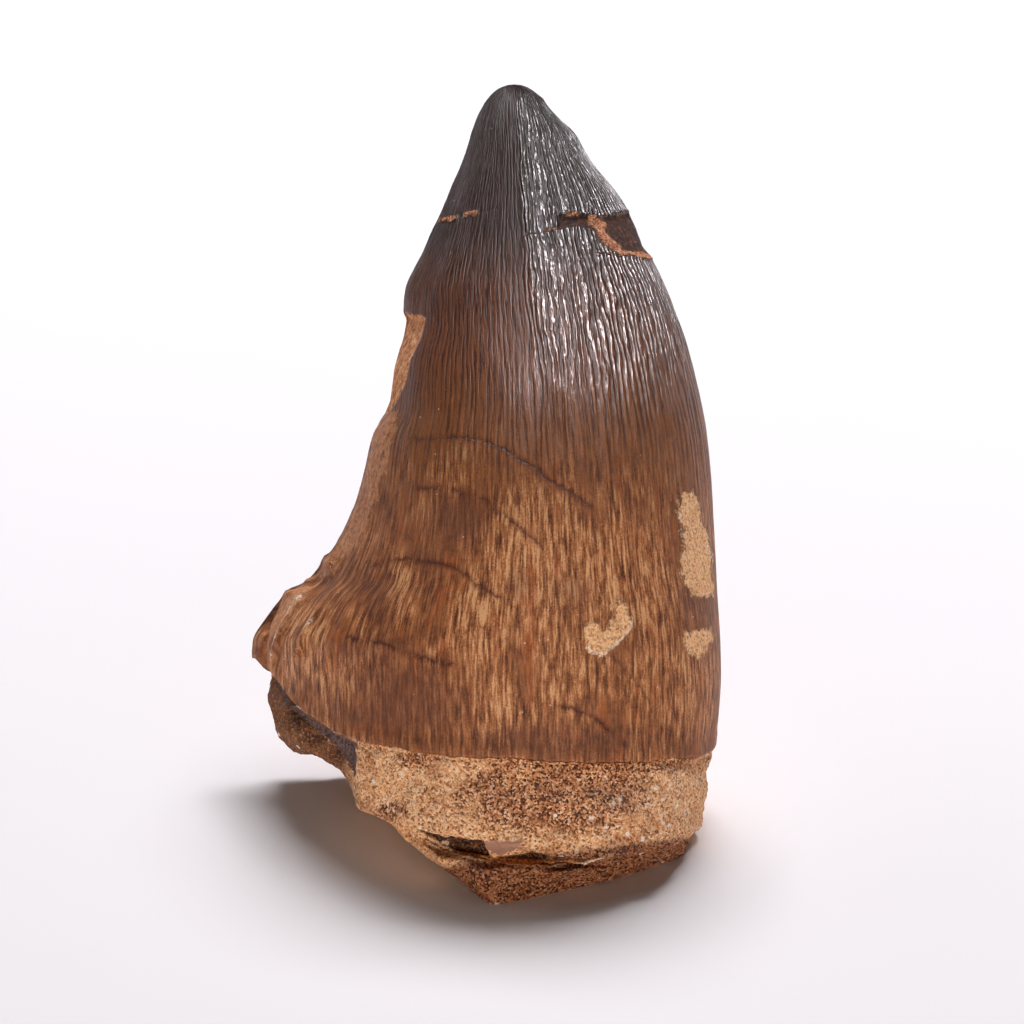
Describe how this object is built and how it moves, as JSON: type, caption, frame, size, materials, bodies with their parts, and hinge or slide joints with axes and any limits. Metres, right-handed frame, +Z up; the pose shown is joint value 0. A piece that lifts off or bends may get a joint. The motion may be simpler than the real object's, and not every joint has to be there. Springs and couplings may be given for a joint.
{
  "type": "fossil mosasaur tooth",
  "caption": "Conical fossil reptile tooth with a dark glossy tip and a flared side, standing on the sandy rock cemented to its base.",
  "frame": {"origin": "middle of the flat rest face under the rock, on the ground", "axes": "+Z up, -Y out of the face the picture shows, +X to the right of it; the crown leans back towards +Y"},
  "size_m": [0.0288, 0.0377, 0.0384],
  "materials": {
    "tooth": "glossy dark tip, satin striated sides",
    "matrix": "rough, granular"
  },
  "bodies": {
    "root": {"tooth": "tooth", "matrix": "matrix"}
  },
  "joints": []
}
